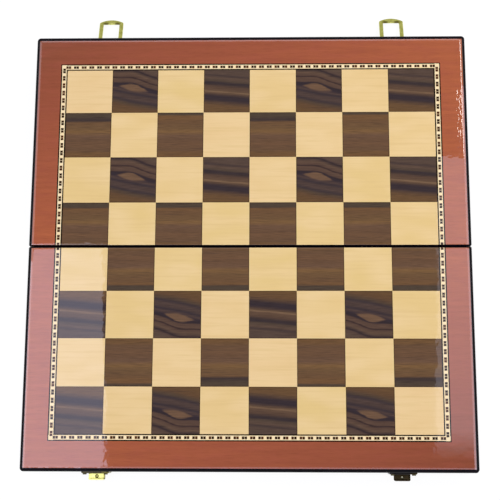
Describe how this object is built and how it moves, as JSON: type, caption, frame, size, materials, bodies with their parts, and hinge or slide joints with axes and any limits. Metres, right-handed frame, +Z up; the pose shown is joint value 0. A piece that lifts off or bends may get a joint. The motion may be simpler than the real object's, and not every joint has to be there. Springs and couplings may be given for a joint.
{
  "type": "folding chess board",
  "caption": "Folding chess box opened flat: chequered playing face with banded border on two hinged trays, bail latches on the far wall and catch tongues on the near wall.",
  "frame": {"origin": "middle of the fold line, in the plane of the tray rims that rest on the table", "axes": "+Z up out of the playing face, +Y across the fold from the near half to the far half, +X along the fold to the right"},
  "size_m": [0.3, 0.3285, 0.0263],
  "materials": {
    "mahogany": "gloss varnish",
    "maple": "gloss varnish",
    "walnut": "gloss varnish",
    "cream_strip": "gloss varnish",
    "dark_line": "gloss varnish",
    "black_lacquer": "gloss lacquer",
    "felt": "matt felt",
    "brass": "polished, bare",
    "antique_brass": "darkened, satin"
  },
  "bodies": {
    "far_half": {"far_panel": "black_lacquer", "far_border_veneer": "mahogany", "far_band_lines": "dark_line", "far_band": "cream_strip", "far_light_squares": "maple", "far_dark_squares": "walnut", "far_fold_rail": "black_lacquer", "far_outer_rail": "black_lacquer", "far_left_rail": "black_lacquer", "far_right_rail": "black_lacquer", "far_lining": "felt", "left_hinge_far_leaf": "brass", "left_hinge_pin": "brass", "left_bail_plate": "antique_brass", "left_bail_pin": "antique_brass", "right_hinge_far_leaf": "brass", "right_hinge_pin": "brass", "right_bail_plate": "antique_brass", "right_bail_pin": "antique_brass", "hinge_brads_far": "brass", "bail_plate_nails": "antique_brass"},
    "near_half": {"near_panel": "black_lacquer", "near_border_veneer": "mahogany", "near_band_lines": "dark_line", "near_band": "cream_strip", "near_light_squares": "maple", "near_dark_squares": "walnut", "near_fold_rail": "black_lacquer", "near_outer_rail": "black_lacquer", "near_left_rail": "black_lacquer", "near_right_rail": "black_lacquer", "near_lining": "felt", "left_hinge_near_leaf": "brass", "left_catch_plate": "antique_brass", "right_hinge_near_leaf": "brass", "right_catch_plate": "antique_brass", "hinge_brads_near": "brass", "catch_plate_nails": "antique_brass"},
    "left_bail": {"left_bail": "brass"},
    "right_bail": {"right_bail": "brass"}
  },
  "joints": [
    {"name": "fold", "type": "hinge", "parent": "far_half", "child": "near_half", "pos_m": [0, 0, -0.0001], "axis": [1, 0, 0], "range_deg": [0, 180]},
    {"name": "left_bail_swing", "type": "hinge", "parent": "far_half", "child": "left_bail", "pos_m": [-0.1016, 0.1518, 0.008], "axis": [1, 0, 0], "range_deg": [-70, 109]},
    {"name": "right_bail_swing", "type": "hinge", "parent": "far_half", "child": "right_bail", "pos_m": [0.1016, 0.1518, 0.008], "axis": [1, 0, 0], "range_deg": [-70, 109]}
  ]
}
